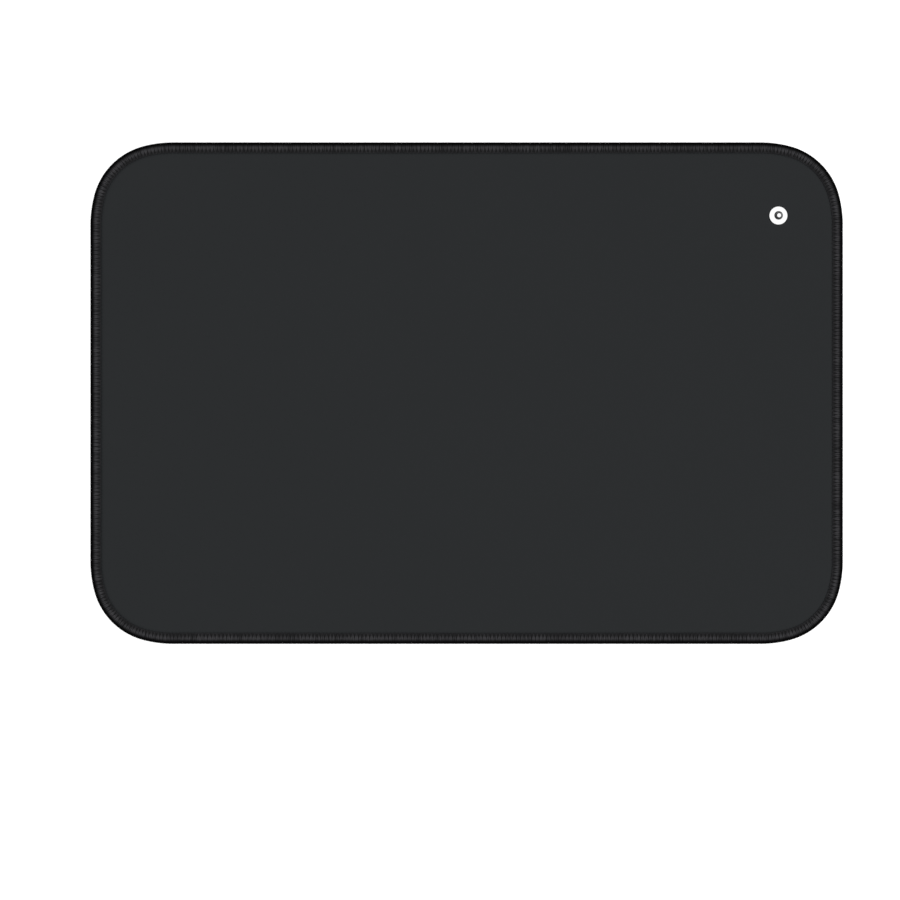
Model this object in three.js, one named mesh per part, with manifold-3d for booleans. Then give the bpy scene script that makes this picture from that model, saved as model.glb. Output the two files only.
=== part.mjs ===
// An earthing desk mat: a soft sheet, 24 by 16 inches, with its cut edge wrapped in overlock stitching
// and a metal press stud near one corner, where the snap of an earthing lead pushes on.
// Millimetres, +Z up. The origin is the middle of the underside, +X runs along the long side, and the
// stud is at +X +Y.

import * as THREE from 'three';
import { mergeVertices } from 'three/addons/utils/BufferGeometryUtils.js';
import Module from 'manifold-3d';

// Driving dimensions

const INCH = 25.4;
const LENGTH = 24 * INCH;
const WIDTH = 16 * INCH;

// Each corner is three tangent arcs: an easy one, a tight one in the middle, and an easy one again.
const CORNER_RADIUS = 55.7;
const EASE_RADIUS = 93.8;
const EASE_ANGLE = THREE.MathUtils.degToRad(15);

const SHEET_THICKNESS = 3.0;
const SHOULDER = 0.4; // bevel where the sheet dips under the stitching

const STITCH_WIDTH = 9.0; // how far the stitching reaches in from the mat's edge
const STITCH_RISE = 0.4; // how far it stands above the sheet
const STITCH_ROUND = 1.5; // rounding of the stitched rim
const THREAD = 0.7; // thickness of the layer of thread
const SOFT_GAP = 0.3; // between the sheet and the thread beside it

const STUD_FROM_END = 52.5; // from the mat's short side to the stud's axis
const STUD_FROM_SIDE = 59.5; // from its long side
const STUD_SINK = 0.3; // how far the flange presses into the sheet
const FLANGE_RADIUS = 7.5;
const FLANGE_THICKNESS = 0.8;
const FLANGE_ROUND = 0.5;
const HEAD_RADIUS = 3.6;
const HEAD_HEIGHT = 4.0; // above the flange
const NECK_WAIST = 0.5; // how much slimmer the neck is than the head, all round
const NECK_FILLET = 0.65; // wider than the waist, so that a socket can reach the flange past the head
// The head's outline from the neck up to its crown, in shares of its radius and of its height.
const HEAD_PROFILE = [
  [0.96, 0.24],
  [1, 0.32],
  [0.98, 0.42],
  [0.89, 0.56],
  [0.74, 0.725],
  [0.54, 0.87],
  [0.375, 0.955],
  [0.17, 0.994],
  [0, 1],
];
const SHANK_RADIUS = 1.8;
const PEEN_SPREAD = 0.9; // how far the shank's hammered end spreads, all round
const PEEN_LIFT = 0.1; // the shank ends this far above what the mat lies on

const WASHER_RADIUS = 6.0;
const WASHER_THICKNESS = 0.8;
const WASHER_LAND = 0.2; // the straight part of the washer's hole, above its countersink
const METAL_GAP = 0.3; // around the shank, in the sheet and in the washer

const EASE_STEPS = 4; // flats along an easy arc
const CORNER_STEPS = 15; // flats along a tight arc
const RIM_STEPS = 4; // flats around the rim's rounding
const TURN_STEPS = 48; // flats around the stud

// Sizes and places that follow from them

const STITCH_HEIGHT = SHEET_THICKNESS + STITCH_RISE;
const LIP_TOP = STITCH_HEIGHT - THREAD; // the sheet is this high under the stitching

const STUD_X = LENGTH / 2 - STUD_FROM_END;
const STUD_Y = WIDTH / 2 - STUD_FROM_SIDE;
const FLANGE_SEAT = SHEET_THICKNESS - STUD_SINK;
const FLANGE_TOP = FLANGE_SEAT + FLANGE_THICKNESS;
const PEEN_RADIUS = SHANK_RADIUS + PEEN_SPREAD;
const PEEN_TOP = WASHER_THICKNESS - WASHER_LAND;

// Outlines

function direction(angle) {
  return new THREE.Vector2(Math.cos(angle), Math.sin(angle));
}

// The points of an arc, from one angle to another, without the last one.
function arcPoints(centre, radius, from, to, steps) {
  const points = [];
  for (let i = 0; i < steps; i++) {
    const angle = THREE.MathUtils.lerp(from, to, i / steps);
    points.push(direction(angle).multiplyScalar(radius).add(centre));
  }
  return points;
}

// The mat's outline, moved inwards by inset. It runs anticlockwise, one corner after another.
function outline(inset) {
  const spread = EASE_RADIUS - CORNER_RADIUS;
  const reach = EASE_RADIUS - spread * Math.cos(EASE_ANGLE);
  const corners = [[1, 1], [-1, 1], [-1, -1], [1, -1]];
  const points = corners.flatMap(([sideX, sideY], quarter) => {
    const middle = new THREE.Vector2(sideX * (LENGTH / 2 - reach), sideY * (WIDTH / 2 - reach));
    const start = quarter * Math.PI / 2;
    const first = start + EASE_ANGLE;
    const second = start + Math.PI / 2 - EASE_ANGLE;
    const end = start + Math.PI / 2;
    const easyCentre = (angle) => middle.clone().addScaledVector(direction(angle), -spread);
    return [
      ...arcPoints(easyCentre(first), EASE_RADIUS - inset, start, first, EASE_STEPS),
      ...arcPoints(middle, CORNER_RADIUS - inset, first, second, CORNER_STEPS),
      ...arcPoints(easyCentre(second), EASE_RADIUS - inset, second, end, EASE_STEPS),
      direction(end).multiplyScalar(EASE_RADIUS - inset).add(easyCentre(second)),
    ];
  });
  return new THREE.Shape(points);
}

// Solids

const wasm = await Module();
wasm.setup();

function solidOf(geometry) {
  const bare = geometry.clone();
  bare.deleteAttribute('normal');
  bare.deleteAttribute('uv');
  const merged = mergeVertices(bare);
  return new wasm.Manifold(new wasm.Mesh({
    numProp: 3,
    vertProperties: merged.attributes.position.array,
    triVerts: new Uint32Array(merged.index.array),
  }));
}

function geometryOf(solid) {
  const mesh = solid.getMesh();
  const geometry = new THREE.BufferGeometry();
  geometry.setAttribute('position', new THREE.BufferAttribute(mesh.vertProperties, 3));
  geometry.setIndex(new THREE.BufferAttribute(mesh.triVerts, 1));
  geometry.computeVertexNormals();
  return geometry;
}

// A slab of the mat's outline between two heights, with its edges rounded or bevelled.
function slab(inset, low, high, round = 0, steps = 1) {
  const geometry = new THREE.ExtrudeGeometry(outline(inset + round), {
    depth: high - low - 2 * round,
    steps: 1,
    bevelEnabled: round > 0,
    bevelThickness: round,
    bevelSize: round,
    bevelSegments: steps,
  });
  return solidOf(geometry.translate(0, 0, low + round));
}

// An upright cylinder on the stud's axis.
function studCylinder(radius, low, high) {
  const geometry = new THREE.CylinderGeometry(radius, radius, high - low, TURN_STEPS);
  geometry.rotateX(Math.PI / 2);
  return solidOf(geometry.translate(STUD_X, STUD_Y, (low + high) / 2));
}

// A solid turned about the stud's axis, from [radius, height] points that run anticlockwise.
function turned(profile) {
  const points = profile.map(([radius, height]) => new THREE.Vector2(radius, height));
  return new THREE.LatheGeometry(points, TURN_STEPS).rotateX(Math.PI / 2);
}

// The sheet is pressed thinner where the stitching wraps it, and the stud and its washer sink into it.
function sheetGeometry() {
  const lip = slab(THREAD + SOFT_GAP, THREAD, LIP_TOP);
  const panel = slab(STITCH_WIDTH + SOFT_GAP, 0, SHEET_THICKNESS, SHOULDER);
  const seat = studCylinder(FLANGE_RADIUS + METAL_GAP, FLANGE_SEAT, SHEET_THICKNESS + 1);
  const hole = studCylinder(SHANK_RADIUS + METAL_GAP, -1, SHEET_THICKNESS + 1);
  const pocket = studCylinder(WASHER_RADIUS + METAL_GAP, -1, WASHER_THICKNESS);
  return geometryOf(lip.add(panel).subtract(seat).subtract(hole).subtract(pocket));
}

// The stitching is one layer of thread over the sheet's rim, above, around and below it.
function stitchingGeometry() {
  const round = Math.min(STITCH_ROUND, 0.45 * STITCH_HEIGHT, 2.5 * THREAD);
  const rim = slab(0, 0, STITCH_HEIGHT, round, RIM_STEPS);
  const inside = slab(THREAD, THREAD, LIP_TOP);
  const middle = slab(STITCH_WIDTH, -1, STITCH_HEIGHT + 1);
  return geometryOf(rim.subtract(inside).subtract(middle));
}

// The stud is turned in one piece: head, neck, flange and shank, with the shank's end hammered out.
function studGeometry() {
  const round = Math.min(FLANGE_ROUND, 0.8 * FLANGE_THICKNESS);
  const flangeEdge = FLANGE_RADIUS - round;
  const neck = HEAD_RADIUS - NECK_WAIST;
  return turned([
    [0, PEEN_LIFT],
    [PEEN_RADIUS, PEEN_LIFT],
    [SHANK_RADIUS, PEEN_TOP],
    [SHANK_RADIUS, FLANGE_SEAT],
    [FLANGE_RADIUS, FLANGE_SEAT],
    [FLANGE_RADIUS, FLANGE_TOP - round],
    [flangeEdge + round * Math.SQRT1_2, FLANGE_TOP - round * (1 - Math.SQRT1_2)],
    [flangeEdge, FLANGE_TOP],
    [neck + NECK_FILLET, FLANGE_TOP],
    [neck, FLANGE_TOP + NECK_FILLET],
    ...HEAD_PROFILE.map(([share, rise]) => [share * HEAD_RADIUS, FLANGE_TOP + rise * HEAD_HEIGHT]),
  ]);
}

// The washer backs the sheet, and its countersink leaves room for the shank's hammered end.
function washerGeometry() {
  return turned([
    [PEEN_RADIUS + METAL_GAP, 0],
    [WASHER_RADIUS, 0],
    [WASHER_RADIUS, WASHER_THICKNESS],
    [SHANK_RADIUS + METAL_GAP, WASHER_THICKNESS],
    [SHANK_RADIUS + METAL_GAP, PEEN_TOP],
    [PEEN_RADIUS + METAL_GAP, PEEN_LIFT],
    [PEEN_RADIUS + METAL_GAP, 0],
  ]);
}

// The mat

const leather = new THREE.MeshStandardMaterial({ color: 0x2c2d2f, roughness: 0.75, metalness: 0 });
const thread = new THREE.MeshStandardMaterial({ color: 0x1c1c1d, roughness: 0.85, metalness: 0 });
const nickel = new THREE.MeshStandardMaterial({ color: 0xd8d8d6, roughness: 0.25, metalness: 1 });

function named(name, geometry, material) {
  const mesh = new THREE.Mesh(geometry, material);
  mesh.name = name;
  return mesh;
}

const mat = new THREE.Group();
mat.add(named('mat_sheet', sheetGeometry(), leather));
mat.add(named('edge_stitching', stitchingGeometry(), thread));

const pressStud = new THREE.Group();
pressStud.position.set(STUD_X, STUD_Y, 0);
pressStud.add(named('snap_stud', studGeometry(), nickel));
pressStud.add(named('snap_washer', washerGeometry(), nickel));
mat.add(pressStud);

export default mat;
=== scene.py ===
# An earthing desk mat: a soft leatherette sheet with an overlocked edge and a metal press stud.
# Sizes are in metres once they are in a mesh, and in millimetres while they are worked out.

import math

import bpy
import numpy as np
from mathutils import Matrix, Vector
from mathutils.geometry import delaunay_2d_cdt


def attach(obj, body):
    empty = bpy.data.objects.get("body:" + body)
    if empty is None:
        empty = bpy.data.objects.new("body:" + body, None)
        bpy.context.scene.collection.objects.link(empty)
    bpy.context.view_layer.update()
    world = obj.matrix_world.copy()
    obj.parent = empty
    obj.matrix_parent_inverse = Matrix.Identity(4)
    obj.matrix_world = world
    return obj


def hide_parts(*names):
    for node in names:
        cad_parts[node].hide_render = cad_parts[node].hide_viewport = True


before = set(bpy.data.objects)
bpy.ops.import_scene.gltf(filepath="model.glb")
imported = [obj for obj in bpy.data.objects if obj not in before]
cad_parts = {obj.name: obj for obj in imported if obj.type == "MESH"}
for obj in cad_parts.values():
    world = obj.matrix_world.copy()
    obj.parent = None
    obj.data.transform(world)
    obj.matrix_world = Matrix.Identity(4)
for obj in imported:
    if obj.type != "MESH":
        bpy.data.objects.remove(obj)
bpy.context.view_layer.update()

MM = 0.001
rng = np.random.default_rng(24)

# Sizes, in millimetres, as in the solids

LENGTH, WIDTH = 609.6, 406.4
CORNER_RADIUS, EASE_RADIUS, EASE_ANGLE = 55.7, 93.8, math.radians(15)
SHEET_TOP = 3.0
STUD = np.array([LENGTH / 2 - 52.5, WIDTH / 2 - 59.5])
STITCH_PITCH = 3.05
NEEDLE_LINE = 8.4  # inset of the needle holes
CUT_EDGE = 0.55  # inset of the sheet's cut edge, inside the thread


# The outline, by length along it


def heading(angle):
    return np.array([math.cos(angle), math.sin(angle)])


def outline_parts():
    """The outline as (length, kind, data) parts, anticlockwise from the +X side's upper end."""
    spread = EASE_RADIUS - CORNER_RADIUS
    reach = EASE_RADIUS - spread * math.cos(EASE_ANGLE)
    corners = []
    for quarter, (side_x, side_y) in enumerate([(1, 1), (-1, 1), (-1, -1), (1, -1)]):
        middle = np.array([side_x * (LENGTH / 2 - reach), side_y * (WIDTH / 2 - reach)])
        start = quarter * math.pi / 2
        end = start + math.pi / 2
        first, second = start + EASE_ANGLE, end - EASE_ANGLE
        corners.append([
            (middle - spread * heading(first), EASE_RADIUS, start, first),
            (middle, CORNER_RADIUS, first, second),
            (middle - spread * heading(second), EASE_RADIUS, second, end),
        ])
    parts = []
    for arcs, next_arcs in zip(corners, corners[1:] + corners[:1]):
        for centre, radius, a, b in arcs:
            parts.append((radius * (b - a), "arc", (centre, radius, a)))
        begin = centre + radius * heading(b)
        centre, radius, a, _ = next_arcs[0]
        gap = centre + radius * heading(a) - begin
        length = float(np.hypot(*gap))
        parts.append((length, "line", (begin, gap / length)))
    return parts


PARTS = outline_parts()
STARTS = np.concatenate([[0], np.cumsum([p[0] for p in PARTS])])
PERIMETER = float(STARTS[-1])
STITCHES = round(PERIMETER / STITCH_PITCH)
PITCH = PERIMETER / STITCHES


def along(s):
    """Point and outward normal of the outline at each length s along it."""
    s = np.mod(np.asarray(s, float), PERIMETER)
    point = np.zeros(s.shape + (2,))
    normal = np.zeros(s.shape + (2,))
    which = np.clip(np.searchsorted(STARTS, s, side="right") - 1, 0, len(PARTS) - 1)
    for i, (_, kind, data) in enumerate(PARTS):
        here = which == i
        t = s[here] - STARTS[i]
        if kind == "arc":
            centre, radius, a = data
            angle = a + t / radius
            normal[here] = np.stack([np.cos(angle), np.sin(angle)], -1)
            point[here] = centre + radius * normal[here]
        else:
            begin, way = data
            normal[here] = [way[1], -way[0]]
            point[here] = begin + t[:, None] * way
    return point, normal


def place(s, inset, z):
    """Points at a length along the outline, an inset from it and a height."""
    point, normal = along(s)
    flat = point - np.asarray(inset)[..., None] * normal
    return np.concatenate([flat, np.broadcast_to(z, flat.shape[:-1])[..., None]], -1)


# Mesh helpers


def new_object(name, points, faces):
    mesh = bpy.data.meshes.new(name)
    mesh.from_pydata((np.asarray(points) * MM).tolist(), [], [list(map(int, f)) for f in faces])
    mesh.update()
    mesh.polygons.foreach_set("use_smooth", [True] * len(mesh.polygons))
    obj = bpy.data.objects.new(name, mesh)
    bpy.context.scene.collection.objects.link(obj)
    return obj


def add_points_value(obj, name, values):
    layer = obj.data.attributes.new(name, "FLOAT", "POINT")
    layer.data.foreach_set("value", np.asarray(values, np.float32).ravel())


def catmull_rom(p0, p1, p2, p3, t):
    return 0.5 * (
        2 * p1
        + (p2 - p0) * t
        + (2 * p0 - 5 * p1 + 4 * p2 - p3) * t**2
        + (3 * p1 - p0 - 3 * p2 + p3) * t**3
    )


def spline(controls, samples):
    """A closed curve through controls (n, k), sampled at fractional indices."""
    i = np.floor(samples).astype(int)
    near = [controls[(i + d) % len(controls)] for d in (-1, 0, 1, 2)]
    return catmull_rom(*near, (samples - i)[:, None])


def wander(count, waves, size):
    """A smooth closed random series of count values: the sum of some waves, given as turns round the mat."""
    x = np.arange(count) / count * 2 * math.pi
    total = np.zeros(count)
    for k in waves:
        total += rng.normal() * np.cos(k * x + rng.uniform(0, 2 * math.pi))
    return size * total / math.sqrt(len(waves))


# The thread: an overlock seam of two looper threads and a needle thread

# Each row is one point of a stitch: length along the edge in pitches, inset, height, lean of the
# outward direction in degrees (90 up, 0 out, -90 down), half width, half thickness.
UPPER = np.array([
    [0.00, 8.70, 2.62, 90, 0.23, 0.22],
    [0.07, 8.52, 2.68, 90, 0.26, 0.24],
    [0.08, 7.90, 2.74, 90, 0.31, 0.27],
    [0.125, 6.90, 2.86, 90, 0.45, 0.30],
    [0.19, 5.60, 3.00, 90, 0.67, 0.32],
    [0.235, 4.20, 3.07, 90, 0.77, 0.32],
    [0.25, 2.90, 3.04, 84, 0.82, 0.32],
    [0.255, 1.75, 2.84, 62, 0.80, 0.32],
    [0.25, 0.92, 2.48, 38, 0.68, 0.30],
    [0.25, 0.45, 2.02, 14, 0.62, 0.29],
    [0.26, 0.32, 1.62, 0, 0.54, 0.28],
    [0.35, 0.32, 1.26, 0, 0.44, 0.28],
    [0.50, 0.32, 1.14, 0, 0.42, 0.28],
    [0.65, 0.32, 1.26, 0, 0.44, 0.28],
    [0.74, 0.32, 1.62, 0, 0.54, 0.28],
    [0.75, 0.45, 2.02, 14, 0.62, 0.29],
    [0.75, 0.92, 2.48, 38, 0.68, 0.30],
    [0.745, 1.75, 2.84, 62, 0.80, 0.32],
    [0.75, 2.90, 3.04, 84, 0.82, 0.32],
    [0.765, 4.20, 3.07, 90, 0.77, 0.32],
    [0.81, 5.60, 3.00, 90, 0.67, 0.32],
    [0.875, 6.90, 2.86, 90, 0.45, 0.30],
    [0.92, 7.90, 2.74, 90, 0.31, 0.27],
    [0.93, 8.52, 2.68, 90, 0.26, 0.24],
])

LOWER = np.array([
    [0.50, 8.72, 0.50, -90, 0.28, 0.18],
    [0.57, 8.20, 0.42, -90, 0.34, 0.24],
    [0.64, 6.60, 0.37, -90, 0.50, 0.30],
    [0.71, 4.60, 0.36, -90, 0.66, 0.32],
    [0.75, 2.40, 0.40, -85, 0.70, 0.32],
    [0.77, 1.30, 0.66, -55, 0.66, 0.30],
    [0.80, 0.70, 1.10, -20, 0.56, 0.28],
    [0.86, 0.42, 1.60, 0, 0.40, 0.27],
    [0.92, 0.40, 1.93, 8, 0.34, 0.26],
    [1.00, 0.40, 2.06, 12, 0.32, 0.26],
    [1.08, 0.40, 1.93, 8, 0.34, 0.26],
    [1.14, 0.42, 1.60, 0, 0.40, 0.27],
    [1.20, 0.70, 1.10, -20, 0.56, 0.28],
    [1.23, 1.30, 0.66, -55, 0.66, 0.30],
    [1.25, 2.40, 0.40, -85, 0.70, 0.32],
    [1.29, 4.60, 0.36, -90, 0.66, 0.32],
    [1.36, 6.60, 0.37, -90, 0.50, 0.30],
    [1.43, 8.20, 0.42, -90, 0.34, 0.24],
])

NEEDLE_TOP = np.array([
    [0.00, NEEDLE_LINE, 2.20, 90, 0.19, 0.19],
    [0.07, NEEDLE_LINE, 2.62, 90, 0.21, 0.20],
    [0.22, NEEDLE_LINE, 2.80, 90, 0.24, 0.21],
    [0.50, NEEDLE_LINE, 2.83, 90, 0.25, 0.21],
    [0.78, NEEDLE_LINE, 2.80, 90, 0.24, 0.21],
    [0.93, NEEDLE_LINE, 2.62, 90, 0.21, 0.20],
])

NEEDLE_UNDER = np.array([
    [0.00, NEEDLE_LINE, 0.80, -90, 0.18, 0.18],
    [0.12, NEEDLE_LINE, 0.34, -90, 0.20, 0.18],
    [0.50, NEEDLE_LINE, 0.22, -90, 0.22, 0.18],
    [0.88, NEEDLE_LINE, 0.34, -90, 0.20, 0.18],
])

line_wander = wander(STITCHES, (3, 5, 9, 14, 22), 0.07)  # of the needle holes, inwards and outwards
tension = 1 + wander(STITCHES, (4, 11, 19, 31, 47), 0.03)
sheen = 1 + wander(STITCHES, (17, 43, 71, 113, 167), 0.10)


def thread_loops(rows, jitter):
    """Every stitch's points, one after another round the mat, as (n, 7) rows: the last is a shade."""
    stitch = np.repeat(rows[None], STITCHES, 0)
    s, inset, z, lean, wide, thick = np.moveaxis(stitch, -1, 0)
    on_face = np.clip(inset / NEEDLE_LINE, 0, 1)  # 0 at the rim, 1 at the needle holes
    # one leg of a stitch against its other
    leg = np.sin(np.arange(len(rows)) / len(rows) * 2 * math.pi)[None]

    def chance():
        return jitter * rng.normal(size=(STITCHES, 1))

    s = (s + np.arange(STITCHES)[:, None]) * PITCH + 0.14 * on_face * chance() + 0.06 * leg * chance()
    inset = inset + on_face * (line_wander[:, None] + 0.14 * chance())
    z = z + 0.012 * chance()
    # one strand in a while is slack or pulled tight
    slack = 1 + 0.06 * chance() + 0.10 * on_face * chance() + 0.06 * leg * chance()
    wide = wide * tension[:, None] * slack
    z = np.maximum(z, thick + 0.01)
    shade = sheen[:, None] * (1 + 0.13 * chance() + 0.10 * leg * chance())
    return np.stack([s, inset, z, lean, wide, thick, shade], -1).reshape(-1, 7)


def tube(rows, per_stitch, sides):
    """A closed tube along a thread's path: its points, faces and fibre UV, and three values a point,
    its inset, its crest (1 on the outward side) and its shade."""
    count = STITCHES * per_stitch
    samples = np.arange(count) / per_stitch * (len(rows) // STITCHES)
    # the length along the edge jumps by the perimeter where the loop closes, so the curve goes
    # through what it differs by from an even pace
    pace = PERIMETER / len(rows)
    uneven = rows.copy()
    uneven[:, 0] -= np.arange(len(rows)) * pace
    curve = spline(uneven, samples)
    curve[:, 0] += samples * pace
    s, inset, z, lean, wide, thick, shade = curve.T
    centre = place(s, inset, z)
    _, normal = along(s)
    way = np.roll(centre, -1, 0) - np.roll(centre, 1, 0)
    way /= np.linalg.norm(way, axis=1)[:, None]
    lean = np.radians(lean)
    up = np.concatenate([normal * np.cos(lean)[:, None], np.sin(lean)[:, None]], 1)
    side = np.cross(way, up)
    side /= np.linalg.norm(side, axis=1)[:, None]
    up = np.cross(side, way)
    angle = np.arange(sides) / sides * 2 * math.pi
    ring = (
        centre[:, None]
        + side[:, None] * (wide[:, None] * np.cos(angle))[..., None]
        + up[:, None] * (thick[:, None] * np.sin(angle))[..., None]
    )
    i = np.arange(count)[:, None]
    j = np.arange(sides)[None]
    here, ahead = i * sides, (i + 1) % count * sides
    faces = np.stack([here + j, ahead + j, ahead + (j + 1) % sides, here + (j + 1) % sides], -1)
    steps = np.linalg.norm(np.roll(centre, -1, 0) - centre, axis=1)
    length = np.concatenate([[0], np.cumsum(steps)])
    u0, u1, v0, v1 = (
        np.broadcast_to(value, (count, sides))
        for value in (length[:-1, None], length[1:, None], j / sides, (j + 1) / sides)
    )
    uv = np.stack([u0, v0, u1, v0, u1, v1, u0, v1], -1)
    crest = np.broadcast_to(np.sin(angle), (count, sides))
    return (
        ring.reshape(-1, 3), faces.reshape(-1, 4), uv.ravel(),
        np.repeat(inset, sides), crest.ravel(), np.repeat(shade, sides),
    )


def sweep(name, paths, per_stitch, sides=6):
    """One object of the tubes along some threads' paths."""
    points, faces, uv, inset, crest, shade = zip(*(tube(rows, per_stitch, sides) for rows in paths))
    first = np.cumsum([0] + [len(block) for block in points])
    faces = [block + start for block, start in zip(faces, first)]
    obj = new_object(name, np.concatenate(points), np.concatenate(faces))
    layer = obj.data.uv_layers.new(name="fibre")
    layer.data.foreach_set("uv", np.concatenate(uv).astype(np.float32))
    for value, blocks in (("inset", inset), ("crest", crest), ("shade", shade)):
        add_points_value(obj, value, np.concatenate(blocks))
    return obj


upper = sweep("stitch_upper_looper", [thread_loops(UPPER, 1.0)], 25)
lower = sweep("stitch_lower_looper", [thread_loops(LOWER, 1.0)], 18)
needle = sweep("stitch_needle_thread", [thread_loops(NEEDLE_TOP, 0.5), thread_loops(NEEDLE_UNDER, 0.5)], 6)


# The sheet

TOP_FINE = 6  # points a stitch on the top
UNDER_FINE = 3
STUD_TURN = 96  # points round the stud
FILL_STEP = 11.0  # between the points that fill the flat middle
FILL_INSET = 18.0  # of those points from the mat's sides
FILL_CORNER = 62.0  # radius of the round corners that they keep within
FILL_CLEAR = 15.0  # radius round the stud that they keep out of
NO_INSET = 100.0  # stands for anywhere well inside the stitching
PUCKER_DEPTH, PUCKER_RADIUS = 0.30, 0.55  # of the dimple at each needle hole
PULL_DEPTH, PULL_FROM_HOLES = 0.09, 0.9  # of the ripples that the stitches pull up inside the holes

# Inset and height of the sheet's upper surface, from its cut edge inwards
TOP_PROFILE = [
    (CUT_EDGE, 1.50), (0.60, 1.85), (0.85, 2.16), (1.4, 2.44), (2.0, 2.60), (3.0, 2.69), (4.2, 2.72),
    (5.6, 2.66), (6.9, 2.50), (7.8, 2.40), (8.4, 2.38), (8.9, 2.44), (9.35, 2.60), (9.8, 2.76),
    (10.3, 2.88), (10.9, 2.955), (11.7, 2.99), (13.0, 3.0),
]
UNDER_PROFILE = [
    (0.60, 1.16), (0.90, 0.90), (1.45, 0.80), (2.4, 0.74), (5.0, 0.72), (8.9, 0.72), (9.4, 0.55),
    (9.8, 0.22), (10.3, 0.05), (11.2, 0.0), (13.0, 0.0),
]
# Radius and height round the stud, from the top to the under side: the leather is pressed down by the
# flange, bored for the shank, and sunk for the washer
STUD_SEAT = [
    (13.0, 3.0), (11.0, 2.995), (9.8, 2.975), (9.0, 2.94), (8.5, 2.895), (8.1, 2.83), (7.8, 2.76),
    (7.5, 2.71), (7.1, 2.69), (4.5, 2.69), (2.3, 2.68), (2.1, 2.60), (2.1, 1.7), (2.1, 0.86),
    (2.3, 0.81), (4.4, 0.81), (6.15, 0.81), (6.28, 0.74), (6.3, 0.4), (6.4, 0.12), (6.7, 0.02),
    (7.4, 0.0), (10.0, 0.0),
]

pull_strength = 1 + wander(STITCHES, (7, 23, 41, 67), 0.25)


def fabric_ring(inset, z, fine, pucker=False):
    """Points round the sheet, fine to a stitch. A puckered ring dips at the needle holes."""
    count = STITCHES * fine
    s = np.arange(count) / fine * PITCH
    height = np.full(count, float(z))
    if pucker:
        stitch = np.arange(count) // fine
        phase = (np.arange(count) % fine) / fine
        from_hole = np.minimum(phase, 1 - phase) * PITCH
        across = inset - NEEDLE_LINE
        height -= PUCKER_DEPTH * np.exp(-(from_hole**2 + across**2) / PUCKER_RADIUS**2)
        if across > 0:
            pull = math.exp(-((across - PULL_FROM_HOLES) ** 2))
            height -= PULL_DEPTH * pull * np.cos(2 * math.pi * phase) * pull_strength[stitch]
        inset = inset + line_wander[stitch] * np.clip((13 - inset) / 4, 0, 1)
    return place(s, np.broadcast_to(inset, (count,)), height)


def fill_points():
    """A square grid of points over the flat middle, clear of the corners and the stud."""
    half = np.array([LENGTH, WIDTH]) / 2
    for x in np.arange(-half[0] + FILL_INSET, half[0] - FILL_INSET + 1, FILL_STEP):
        for y in np.arange(-half[1] + FILL_INSET, half[1] - FILL_INSET + 1, FILL_STEP):
            over = np.abs([x, y]) - (half - FILL_CORNER)
            in_corner = over.min() > 0 and math.hypot(*over) > FILL_CORNER - FILL_INSET
            if not in_corner and math.hypot(x - STUD[0], y - STUD[1]) >= FILL_CLEAR:
                yield Vector((x, y))


def fill_flat(outer, hole):
    """Triangles between an outer ring and the hole for the stud, both of 2-D points. Returns the points
    that fill it, and faces that number outer's points, then hole's, then these."""
    fill = list(fill_points())
    points = [Vector(p) for p in outer] + [Vector(p) for p in hole] + fill
    edges = []
    for start, count in ((0, len(outer)), (len(outer), len(hole))):
        edges += [(start + i, start + (i + 1) % count) for i in range(count)]
    verts, _, faces, origins, _, _ = delaunay_2d_cdt(points, edges, [], 1, 1e-5)
    assert len(verts) == len(points)
    radius = 0.999 * math.hypot(hole[0][0] - STUD[0], hole[0][1] - STUD[1])
    kept = []
    for f in faces:
        middle = sum((verts[i] for i in f), Vector((0, 0))) / len(f)
        if math.hypot(middle.x - STUD[0], middle.y - STUD[1]) >= radius:
            kept.append([origins[i][0] for i in f])
    return np.array([list(p) for p in fill]), kept


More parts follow.
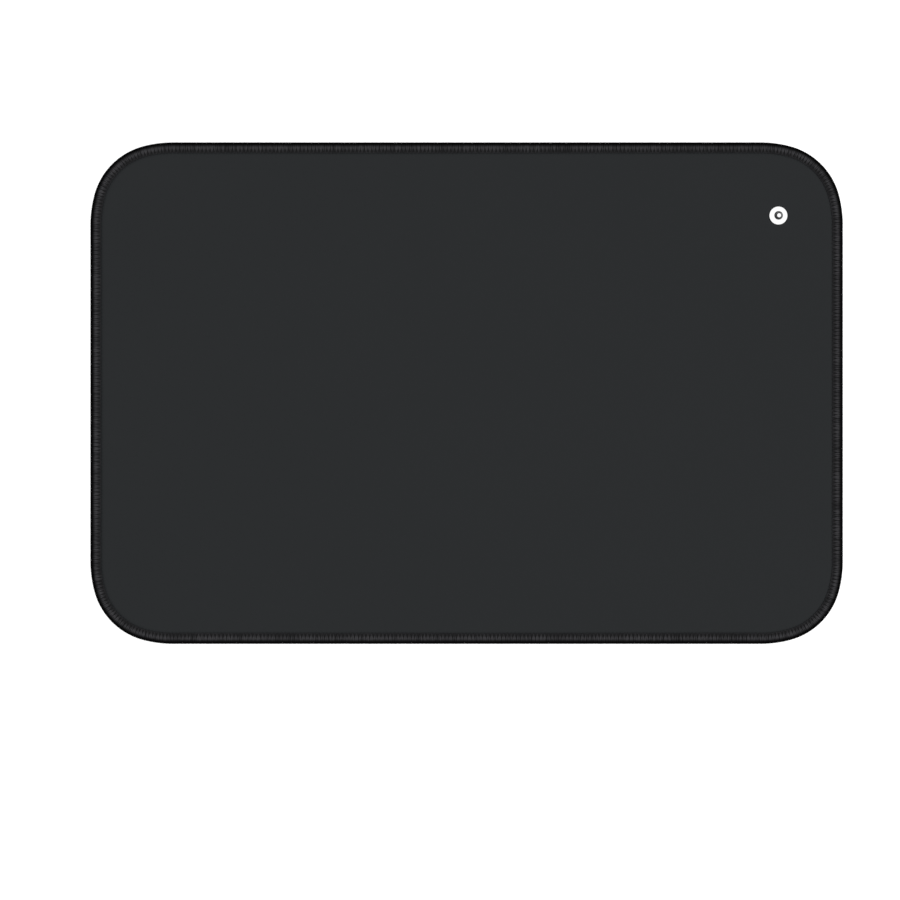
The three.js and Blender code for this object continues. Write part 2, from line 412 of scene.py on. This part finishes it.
def build_sheet():
    """Points, faces, and each point's inset from the mat's edge."""
    points, faces, insets = [], [], []

    def add(block, inset=NO_INSET):
        start = sum(map(len, points))
        points.append(block)
        insets.append(np.full(len(block), inset))
        return start

    def keep(new, flip):
        faces.extend(face[::-1] if flip else face for face in new)

    def bridge(a, b, count, flip=False):
        i = np.arange(count)
        j = (i + 1) % count
        keep(np.stack([a + i, a + j, b + j, b + i], 1).tolist(), flip)

    def halve(fine, coarse, count, flip=False):
        """Joins a ring of 2 * count points to one of count points."""
        for i in range(count):
            f0, f1, f2 = fine + 2 * i, fine + 2 * i + 1, fine + (2 * i + 2) % (2 * count)
            c0, c1 = coarse + i, coarse + (i + 1) % count
            keep([(f0, f1, c0), (f1, c1, c0), (f1, f2, c1)], flip)

    def third(fine, inset, z, flip=False):
        """Adds a ring of one point a stitch and joins a ring of three a stitch to it."""
        s = np.arange(STITCHES) / STITCHES * PERIMETER
        coarse = add(place(s, np.full(STITCHES, inset), z))
        for i in range(STITCHES):
            f0, f1, f2, f3 = (fine + (3 * i + d) % (3 * STITCHES) for d in range(4))
            c0, c1 = coarse + i, coarse + (i + 1) % STITCHES
            keep([(f0, f1, c0), (f1, f2, c0), (f2, c1, c0), (f2, f3, c1)], flip)
        return coarse

    # the top, with coarser rings towards the middle
    rings = [add(fabric_ring(inset, z, TOP_FINE, inset > 5), inset) for inset, z in TOP_PROFILE]
    for a, b in zip(rings, rings[1:]):
        bridge(a, b, STITCHES * TOP_FINE)
    medium = add(fabric_ring(14.5, SHEET_TOP, TOP_FINE // 2))
    halve(rings[-1], medium, STITCHES * TOP_FINE // 2)
    top_edge = third(medium, 16.5, SHEET_TOP)

    # the under side, from the same cut edge
    last = rings[0]
    for n, (inset, z) in enumerate(UNDER_PROFILE):
        ring = add(fabric_ring(inset, z, UNDER_FINE), inset)
        join = bridge if n else halve
        join(last, ring, STITCHES * UNDER_FINE, flip=True)
        last = ring
    under_edge = third(last, 15.5, 0.0, flip=True)

    # round the stud
    angle = np.arange(STUD_TURN) / STUD_TURN * 2 * math.pi
    circle = np.stack([np.cos(angle), np.sin(angle)], 1)
    stud_rings = [
        add(np.concatenate([STUD + r * circle, np.full((STUD_TURN, 1), z)], 1)) for r, z in STUD_SEAT
    ]
    for a, b in zip(stud_rings, stud_rings[1:]):
        bridge(a, b, STUD_TURN)

    # the flat middle, above and below
    for edge, hole, z, flip in (
        (top_edge, stud_rings[0], SHEET_TOP, False), (under_edge, stud_rings[-1], 0.0, True)
    ):
        every = np.concatenate(points)[:, :2]
        outer, inner = every[edge:edge + STITCHES], every[hole:hole + STUD_TURN]
        fill, triangles = fill_flat(outer.tolist(), inner.tolist())
        start = add(np.concatenate([fill, np.full((len(fill), 1), z)], 1))
        number = np.concatenate([
            edge + np.arange(STITCHES), hole + np.arange(STUD_TURN), start + np.arange(len(fill))
        ])
        keep([number[face].tolist() for face in triangles], flip)
    return np.concatenate(points), faces, np.concatenate(insets)


sheet_points, sheet_faces, sheet_insets = build_sheet()
sheet = new_object("mat_sheet_soft", sheet_points, sheet_faces)

# Each value is 1 up to the first inset and 0 past the second: both mark painted shade, the first on the
# sheet under the stitching, and the second on its cut edge, which has thread on all sides.
for value, full, none in (("shade_under_stitches", 7.6, 9.4), ("shade_at_cut_edge", 1.5, 2.7)):
    add_points_value(sheet, value, np.clip((none - sheet_insets) / (none - full), 0, 1))


# The stud and its washer


def turned(name, profile, turn):
    """A solid turned about the stud's axis from (radius, height) points. They run from axis to axis, or
    round a hole and back to their start."""
    points, faces, rings = [], [], []
    for r, z in profile:
        count = turn if r else 1
        rings.append(list(range(len(points), len(points) + count)))
        for angle in np.arange(count) / turn * 2 * math.pi:
            points.append([STUD[0] + r * math.cos(angle), STUD[1] + r * math.sin(angle), z])
    for a, b in zip(rings, rings[1:]):
        for i in range(turn):
            j = (i + 1) % turn
            if len(a) == 1:
                faces.append((a[0], b[j], b[i]))
            elif len(b) == 1:
                faces.append((a[i], a[j], b[0]))
            else:
                faces.append((a[i], a[j], b[j], b[i]))
    return new_object(name, points, faces)


def fillet(cx, cz, r, a0, a1, steps):
    """Points of a rounding in (radius, height), by angle in degrees."""
    angles = np.radians(np.linspace(a0, a1, steps))
    return [(cx + r * math.cos(a), cz + r * math.sin(a)) for a in angles]


def stud_profile():
    """From the hammered end of the shank to the crown of the head."""
    rows = [(0, 0.16), (1.6, 0.13), (2.35, 0.12)]
    rows += fillet(2.45, 0.24, 0.14, -80, 20, 5)
    rows += [(1.86, 0.56), (1.8, 0.62), (1.8, 2.66), (1.86, 2.70), (6.9, 2.70)]
    rows += fillet(7.2, 3.0, 0.3, -90, 0, 6)
    rows += fillet(7.0, 3.0, 0.5, 6, 84, 9)
    rows += [(6.9, 3.5), (5.4, 3.485)]
    head = np.array([
        (4.0, 3.49), (3.75, 3.50), (3.55, 3.53), (3.36, 3.60), (3.2, 3.72), (3.12, 3.88), (3.1, 4.0),
        (3.15, 4.14), (3.3, 4.30), (3.46, 4.46), (3.57, 4.62), (3.6, 4.78), (3.59, 4.92), (3.52, 5.18),
        (3.4, 5.42), (3.2, 5.74), (2.95, 6.07), (2.65, 6.40), (2.3, 6.72), (1.95, 6.99), (1.65, 7.18),
        (1.35, 7.32), (1.0, 7.42), (0.6, 7.475), (0.3, 7.494), (0.0, 7.5),
    ])
    last = len(head) - 1
    for i in range(last):
        near = [head[min(max(i + d, 0), last)] for d in (-1, 0, 1, 2)]
        rows += [tuple(catmull_rom(*near, t)) for t in (0.0, 0.5)]
    return rows + [(0, 7.5)]


stud = turned("snap_stud_turned", stud_profile(), 128)
washer = turned(
    "snap_washer_turned",
    [(3.0, 0.06), (3.06, 0.0), (5.7, 0.0)]
    + fillet(5.8, 0.2, 0.2, -90, 0, 6)
    + fillet(5.8, 0.6, 0.2, 0, 90, 6)
    + [(2.25, 0.8), (2.1, 0.74), (2.1, 0.6), (3.0, 0.12), (3.0, 0.06)],
    96,
)


# Materials


def node_material(name):
    material = bpy.data.materials.new(name)
    material.use_nodes = True
    tree = material.node_tree
    tree.nodes.clear()
    out = tree.nodes.new("ShaderNodeOutputMaterial")
    shader = tree.nodes.new("ShaderNodeBsdfPrincipled")
    tree.links.new(shader.outputs[0], out.inputs["Surface"])
    return material, tree, shader


def add(tree, kind, **values):
    """A node. A value whose name starts with in_ goes on the socket of that name."""
    node = tree.nodes.new(kind)
    for key, value in values.items():
        if key.startswith("in_"):
            node.inputs[key[3:].replace("_", " ")].default_value = value
        else:
            setattr(node, key, value)
    return node


def attribute(tree, name):
    return add(tree, "ShaderNodeAttribute", attribute_name=name).outputs["Fac"]


def noise(tree, vector, scale, detail, **values):
    node = add(tree, "ShaderNodeTexNoise", in_Scale=scale, in_Detail=detail, **values)
    tree.links.new(vector, node.inputs["Vector"])
    return node


def arithmetic(tree, operation, *sources):
    node = add(tree, "ShaderNodeMath", operation=operation)
    for socket, source in zip(node.inputs, sources):
        if isinstance(source, float):
            socket.default_value = source
        else:
            tree.links.new(source, socket)
    return node.outputs[0]


def ramp(tree, source, stops, soft=False):
    """Takes source from one value to another between two stops, ((from, to), (from, to))."""
    (a, b), (c, d) = stops
    node = add(tree, "ShaderNodeMapRange", in_From_Min=a, in_From_Max=c, in_To_Min=b, in_To_Max=d)
    node.interpolation_type = "SMOOTHSTEP" if soft else "LINEAR"
    tree.links.new(source, node.inputs["Value"])
    return node.outputs["Result"]


def mix_colour(tree, factor, a, b):
    node = add(tree, "ShaderNodeMix", data_type="RGBA")
    tree.links.new(factor, node.inputs["Factor"])
    sockets = [i for i in node.inputs if i.type == "RGBA"]
    for socket, value in zip(sockets, (a, b)):
        if isinstance(value, tuple):
            socket.default_value = (*value, 1.0)
        else:
            tree.links.new(value, socket)
    return [o for o in node.outputs if o.type == "RGBA"][0]


def roughen(tree, shader, height, strength, distance):
    bump = add(tree, "ShaderNodeBump", in_Strength=strength, in_Distance=distance)
    tree.links.new(height, bump.inputs["Height"])
    tree.links.new(bump.outputs["Normal"], shader.inputs["Normal"])


# painted shade for the sheet's cut edge, in the gap under the thread that wraps it
CUT_EDGE_SHADE_TONE = (0.0009, 0.0009, 0.0009)  # darker than the thread at the rim


def leatherette():
    """A fine pebbled grain, with painted shade darkening its valleys, under the thread and at its cut edge.
    """
    material, tree, shader = node_material("charcoal leatherette")
    link = tree.links.new
    where = add(tree, "ShaderNodeTexCoord").outputs["Object"]
    warp = noise(tree, where, 900.0, 2.0)
    shift = add(tree, "ShaderNodeVectorMath", operation="MULTIPLY_ADD")
    link(warp.outputs["Color"], shift.inputs[0])
    shift.inputs[1].default_value = (0.0006, 0.0006, 0.0006)
    link(where, shift.inputs[2])
    pebble = add(tree, "ShaderNodeTexVoronoi", feature="DISTANCE_TO_EDGE", in_Scale=1150.0)
    link(shift.outputs[0], pebble.inputs["Vector"])
    grain = ramp(tree, pebble.outputs["Distance"], ((0.0, 0.0), (0.12, 1.0)))
    fine = noise(tree, where, 4200.0, 3.0).outputs["Fac"]
    roughen(tree, shader, arithmetic(tree, "MULTIPLY_ADD", fine, 0.35, grain), 0.55, 0.00002)
    broad = noise(tree, where, 9.0, 4.0).outputs["Fac"]
    tone = mix_colour(tree, ramp(tree, broad, ((0.3, 0.0), (0.7, 1.0))),
                      (0.0121, 0.0138, 0.0151), (0.0128, 0.0145, 0.0158))
    # painted shade: the grain's valleys, the low edges of its cells, are darker
    tone = mix_colour(tree, grain, (0.0104, 0.0120, 0.0132), tone)
    shade_under_stitches, shade_at_cut_edge = attribute(tree, "shade_under_stitches"), attribute(tree, "shade_at_cut_edge")
    # painted shade: the sheet under and between the stitches is darker
    tone = mix_colour(tree, shade_under_stitches, tone, (0.0098, 0.0098, 0.0104))
    # painted shade: the cut edge under the thread is darker still
    link(mix_colour(tree, shade_at_cut_edge, tone, CUT_EDGE_SHADE_TONE), shader.inputs["Base Color"])
    link(ramp(tree, fine, ((0.25, 0.56), (0.75, 0.68))), shader.inputs["Roughness"])
    # painted shade also takes shine away under the stitches and at the cut edge
    open_shine = ramp(tree, shade_under_stitches, ((0.0, 0.16), (1.0, 0.06)))
    shine = arithmetic(tree, "SUBTRACT", open_shine, ramp(tree, shade_at_cut_edge, ((0.0, 0.0), (1.0, 0.05))))
    link(shine, shader.inputs["Specular IOR Level"])
    return material


def base_rubber():
    material, tree, shader = node_material("matt rubber base")
    link = tree.links.new
    where = add(tree, "ShaderNodeTexCoord").outputs["Object"]
    grain = noise(tree, where, 1500.0, 3.0).outputs["Fac"]
    roughen(tree, shader, grain, 0.5, 0.00004)
    blotch = noise(tree, where, 14.0, 4.0).outputs["Fac"]
    tone = mix_colour(tree, blotch, (0.0135, 0.0135, 0.0138), (0.0165, 0.0165, 0.0170))
    # painted shade: the cut edge under the thread is darker and shines less
    shade_at_cut_edge = attribute(tree, "shade_at_cut_edge")
    link(mix_colour(tree, shade_at_cut_edge, tone, CUT_EDGE_SHADE_TONE), shader.inputs["Base Color"])
    link(ramp(tree, grain, ((0.3, 0.82), (0.7, 0.92))), shader.inputs["Roughness"])
    link(ramp(tree, shade_at_cut_edge, ((0.0, 0.25), (1.0, 0.01))), shader.inputs["Specular IOR Level"])
    return material


def thread_material():
    """Filaments that run along the thread with a slight twist. Painted shade and painted light make the
    crown of the seam lighter than its rim, its inner ends, the valleys between the strands and each strand's
    under side."""
    material, tree, shader = node_material("black polyester thread")
    link = tree.links.new
    twist = add(tree, "ShaderNodeMapping", in_Scale=(0.55, 9.0, 1.0), in_Rotation=(0, 0, math.radians(6)))
    link(add(tree, "ShaderNodeUVMap", uv_map="fibre").outputs["UV"], twist.inputs["Vector"])
    fibres = noise(tree, twist.outputs[0], 2.0, 3.0, in_Roughness=0.6).outputs["Fac"]
    roughen(tree, shader, fibres, 0.8, 0.00012)
    inset = attribute(tree, "inset")
    # painted shade: the thread darkens towards the rim, where it rolls over the edge, and towards the needle
    # holes
    rim = ramp(tree, inset, ((1.8, 0.0), (5.1, 1.0)), soft=True)
    inner = ramp(tree, inset, ((4.8, 1.0), (6.9, 0.48)))
    # painted shade: each strand is darker on its under side and lighter on its outward side
    top = ramp(tree, attribute(tree, "crest"), ((-0.5, 0.1), (0.5, 1.0)))
    light = arithmetic(tree, "MULTIPLY", arithmetic(tree, "MULTIPLY", rim, inner), top)
    light = arithmetic(tree, "MULTIPLY", light, attribute(tree, "shade"))
    speck = mix_colour(tree, ramp(tree, fibres, ((0.35, 0.0), (0.65, 1.0))),
                       (0.0300, 0.0296, 0.0318), (0.0520, 0.0513, 0.0552))
    link(mix_colour(tree, light, (0.0022, 0.0022, 0.0023), speck), shader.inputs["Base Color"])
    link(ramp(tree, fibres, ((0.3, 0.62), (0.7, 0.78))), shader.inputs["Roughness"])
    # painted shade also takes the shine off at the rim
    link(ramp(tree, rim, ((0.0, 0.015), (1.0, 0.09))), shader.inputs["Specular IOR Level"])
    return material


def nickel_material():
    """Bright plating with faint smudges and fine scratches one way."""
    material, tree, shader = node_material("bright nickel")
    link = tree.links.new
    where = add(tree, "ShaderNodeTexCoord").outputs["Object"]
    drag = add(tree, "ShaderNodeMapping",
               in_Scale=(500.0, 9000.0, 500.0), in_Rotation=(0, 0, math.radians(31)))
    link(where, drag.inputs["Vector"])
    roughen(tree, shader, noise(tree, drag.outputs[0], 1.0, 2.0).outputs["Fac"], 0.10, 0.00001)
    smudge = noise(tree, where, 420.0, 4.0).outputs["Fac"]
    link(mix_colour(tree, smudge, (0.622, 0.622, 0.625), (0.656, 0.656, 0.660)),
         shader.inputs["Base Color"])
    link(ramp(tree, smudge, ((0.3, 0.07), (0.7, 0.14))), shader.inputs["Roughness"])
    shader.inputs["Metallic"].default_value = 1.0
    return material


thread = thread_material()
nickel = nickel_material()

# the sheet is leatherette above and rubber below, and they meet at its cut edge
sheet.data.materials.append(leatherette())
sheet.data.materials.append(base_rubber())
centres, normals = np.zeros((2, len(sheet.data.polygons), 3), np.float32)
sheet.data.polygons.foreach_get("center", centres.ravel())
sheet.data.polygons.foreach_get("normal", normals.ravel())
low = (centres[:, 2] < TOP_PROFILE[0][1] * MM) | (normals[:, 2] < -0.3)
sheet.data.polygons.foreach_set("material_index", low.astype(np.int32))

for piece, nodes, slot, material in (
    (sheet, ("mat_sheet",), "leatherette", None),
    (upper, ("edge_stitching",), "thread", thread),
    (lower, ("edge_stitching",), "thread", thread),
    (needle, ("edge_stitching",), "thread", thread),
    (stud, ("snap_stud",), "nickel", nickel),
    (washer, ("snap_washer",), "nickel", nickel),
):
    if material:
        piece.data.materials.append(material)
    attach(piece, "root")
    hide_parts(*nodes)

# points round the sheet's outline as it was cut
lengths = np.linspace(0, PERIMETER, 4000, endpoint=False)
x, y, _ = place(lengths, np.full(len(lengths), CUT_EDGE), 0.0).T


# Floor, light and camera

scene = bpy.context.scene
scene.view_settings.view_transform = "Standard"


def stage_piece(name, base, glow):
    """Makes the object just added a plain glowing piece of the studio."""
    obj = bpy.context.object
    obj.name = name
    material, _, shader = node_material(name)
    shader.inputs["Base Color"].default_value = (base, base, base, 1)
    shader.inputs["Roughness"].default_value = 0.9
    shader.inputs["Specular IOR Level"].default_value = 0.0
    shader.inputs["Emission Color"].default_value = (1, 1, 1, 1)
    shader.inputs["Emission Strength"].default_value = glow
    obj.data.materials.append(material)
    return obj


FLOOR_DROP = 0.0001  # keeps the floor and the mat's under side apart
bpy.ops.mesh.primitive_circle_add(vertices=96, radius=40, fill_type="NGON", location=(0, 0, -FLOOR_DROP))
stage_piece("studio_floor", 0.90, 0.45)

# a white cyclorama, which only the camera sees, stands behind the floor in low views
bpy.ops.mesh.primitive_uv_sphere_add(segments=64, ring_count=32, radius=30, location=(0, 0, 0))
backdrop = stage_piece("studio_backdrop", 0.0, 1.2)
for kind in ("diffuse", "glossy", "transmission", "volume_scatter", "shadow"):
    setattr(backdrop, "visible_" + kind, False)

# one wide soft light overhead, leaning a little to +X: the sky glows round that way, and its horizon is dark
LIGHT_WAY = Vector((0.20, -0.02, 1.0)).normalized()
LIGHT_EDGE, LIGHT_CORE = (math.cos(math.radians(angle)) for angle in (62, 48))
world = bpy.data.worlds.new("studio")
scene.world = world
world.use_nodes = True
tree = world.node_tree
tree.nodes.clear()
tilt = add(tree, "ShaderNodeVectorMath", operation="DOT_PRODUCT")
tree.links.new(add(tree, "ShaderNodeTexCoord").outputs["Generated"], tilt.inputs[0])
tilt.inputs[1].default_value = LIGHT_WAY
glow = ramp(tree, tilt.outputs["Value"], ((LIGHT_EDGE, 0.05), (LIGHT_CORE, 1.6)), soft=True)
background = add(tree, "ShaderNodeBackground", in_Color=(1, 1, 1, 1))
tree.links.new(glow, background.inputs["Strength"])
out = add(tree, "ShaderNodeOutputWorld")
tree.links.new(background.outputs[0], out.inputs["Surface"])

FRAME_PIXELS = 900
PIXELS_A_METRE = 1235.5
VIEW_MIDDLE = (-16.65, -56.9)  # of the picture, in its pixels from the mat's middle, +Y up
CAMERA_HEIGHT = 2.0
camera_data = bpy.data.cameras.new("camera")
camera_data.sensor_width = 36.0
camera_data.lens = camera_data.sensor_width * CAMERA_HEIGHT / (FRAME_PIXELS / PIXELS_A_METRE)
camera_data.clip_start, camera_data.clip_end = 0.1, 100
camera = bpy.data.objects.new("camera", camera_data)
scene.collection.objects.link(camera)
camera.location = (
    VIEW_MIDDLE[0] / PIXELS_A_METRE, VIEW_MIDDLE[1] / PIXELS_A_METRE, CAMERA_HEIGHT + SHEET_TOP * MM
)
scene.camera = camera

bpy.context.view_layer.update()
